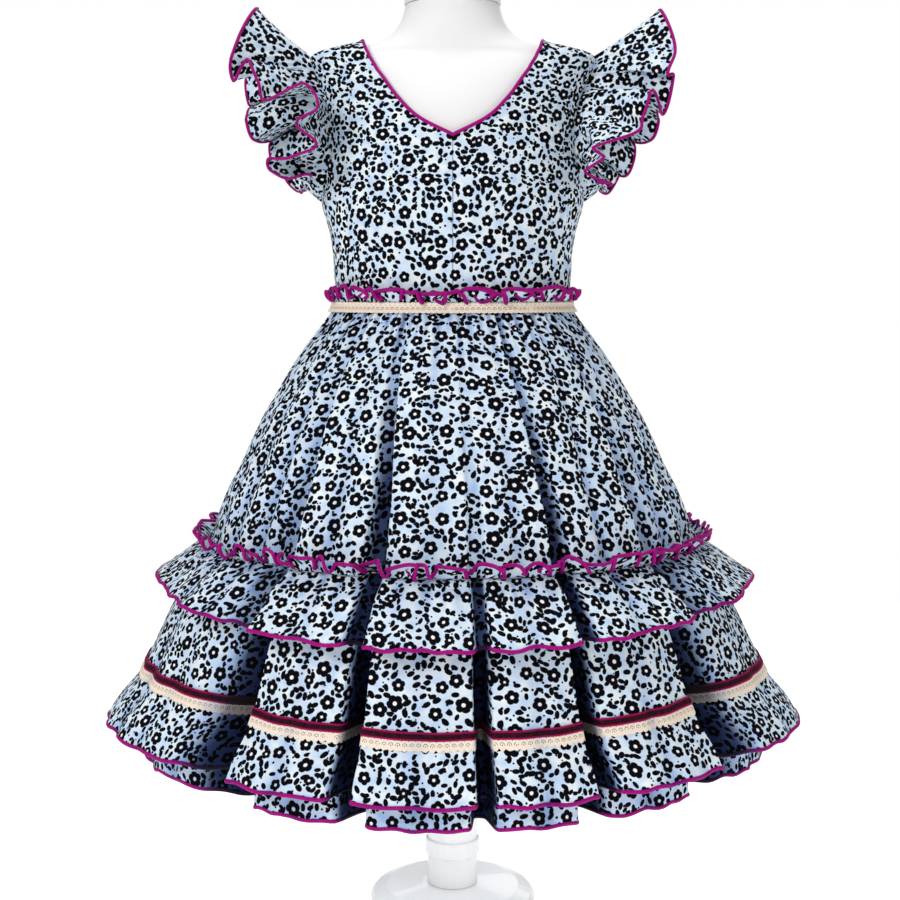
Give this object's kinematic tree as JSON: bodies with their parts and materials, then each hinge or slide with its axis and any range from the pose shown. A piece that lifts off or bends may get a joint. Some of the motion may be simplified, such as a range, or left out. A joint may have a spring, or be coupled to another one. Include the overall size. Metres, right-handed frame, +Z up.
{
  "type": "flamenco dress on dress form",
  "caption": "Small girl's tiered flamenco dress with frilled armholes, ruffle, ribbon and lace trims, worn by a limbless table-top dress form on a pole and round base.",
  "frame": {"origin": "middle of the flat underside of the stand's base", "axes": "+Z up the pole, the dress's front faces -Y, +X is to the viewer's right when looking at the front"},
  "size_m": [0.5464, 0.4608, 0.72],
  "materials": {
    "printed_cotton": "pale blue cotton lawn with a small black flower and leaf print",
    "magenta_binding": "matt bias binding and overlocked edges",
    "burgundy_velvet": "velvet ribbon with a dense short pile",
    "cream_lace": "cotton lace with small scallops",
    "pearl_button": "pearly shirt buttons",
    "white_form": "smooth white jersey over a moulded torso",
    "white_stand": "satin white paint"
  },
  "bodies": {
    "root": {"bodice_front": "printed_cotton", "bodice_back_left": "printed_cotton", "bodice_back_right": "printed_cotton", "sleeve_frill_left": "printed_cotton", "sleeve_frill_right": "printed_cotton", "waist_frill": "printed_cotton", "skirt_upper": "printed_cotton", "ruffle_heading": "printed_cotton", "ruffle": "printed_cotton", "tier_2": "printed_cotton", "under_tier": "printed_cotton", "neck_binding": "magenta_binding", "sleeve_frill_left_binding": "magenta_binding", "sleeve_frill_right_binding": "magenta_binding", "ruffle_binding": "magenta_binding", "tier_2_binding": "magenta_binding", "under_tier_binding": "magenta_binding", "velvet_ribbon": "burgundy_velvet", "lace_edging": "cream_lace", "waist_lace": "cream_lace", "button_1": "pearl_button", "button_2": "pearl_button", "button_3": "pearl_button", "button_4": "pearl_button", "button_5": "pearl_button", "form_torso": "white_form", "neck_cap": "white_form", "stand_pole": "white_stand", "stand_collar": "white_stand", "stand_base": "white_stand"}
  },
  "joints": []
}
